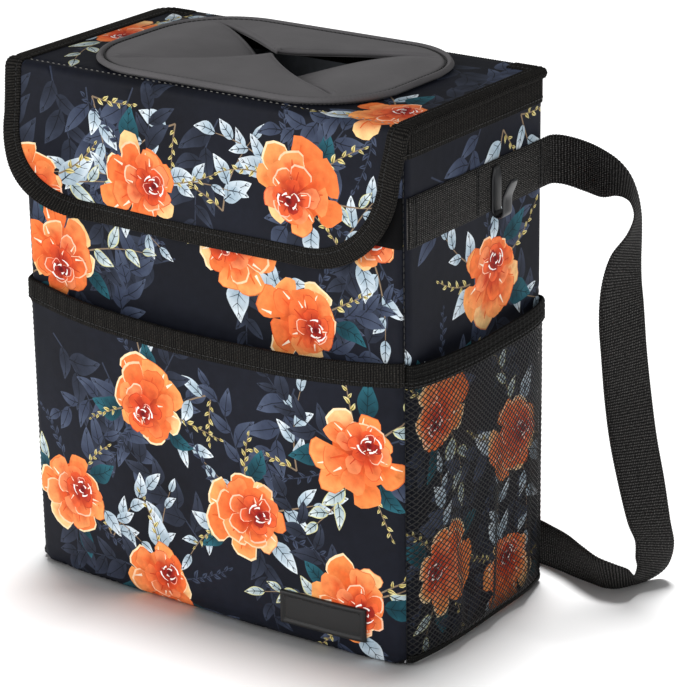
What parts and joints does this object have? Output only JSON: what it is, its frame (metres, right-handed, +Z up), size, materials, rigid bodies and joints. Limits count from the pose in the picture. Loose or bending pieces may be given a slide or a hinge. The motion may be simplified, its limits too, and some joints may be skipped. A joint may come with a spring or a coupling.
{
  "type": "car trash bin",
  "caption": "Soft-sided rectangular car trash bin with a hinged slit-top lid and front flap, front and net side pockets, bag hooks and a hanging strap.",
  "frame": {"origin": "middle of the base on the floor", "axes": "+X to the right seen from the front, the front faces -Y, +Z up"},
  "size_m": [0.3632, 0.1742, 0.2831],
  "materials": {
    "printed_fabric": "satin woven polyester with a floral print",
    "black_tape": "ribbed grosgrain tape",
    "black_webbing": "woven webbing",
    "black_net": "open diamond net",
    "black_elastic": "ribbed elastic",
    "lining_cloth": "plain woven lining",
    "grey_foam": "matte moulded foam sheet",
    "patch_rubber": "satin moulded rubber",
    "hook_plastic": "moulded black plastic",
    "stiffener_board": "plain board",
    "liner_film": "coated waterproof film"
  },
  "bodies": {
    "bin": {"front_panel": "printed_fabric", "back_panel": "printed_fabric", "left_panel": "printed_fabric", "right_panel": "printed_fabric", "base_panel": "printed_fabric", "front_board": "stiffener_board", "back_board": "stiffener_board", "left_board": "stiffener_board", "right_board": "stiffener_board", "base_board": "stiffener_board", "liner": "liner_film", "rim_band": "black_tape", "front_loop_tape": "black_tape", "front_pocket": "printed_fabric", "front_pocket_binding": "black_tape", "left_net_pocket": "black_net", "right_net_pocket": "black_net", "left_elastic": "black_elastic", "right_elastic": "black_elastic", "left_webbing": "black_webbing", "right_webbing": "black_webbing", "left_bag_hook": "hook_plastic", "right_bag_hook": "hook_plastic", "strap": "black_webbing", "label_patch": "patch_rubber"},
    "lid": {"lid_panel": "printed_fabric", "lid_lining": "lining_cloth", "lid_binding": "black_tape", "flap_hook_tape": "black_tape", "slit_insert": "grey_foam"}
  },
  "joints": [
    {"name": "lid_hinge", "type": "hinge", "parent": "bin", "child": "lid", "pos_m": [0, 0.0642, 0.27715], "axis": [-1, 0, 0], "range_deg": [0, 180]}
  ]
}
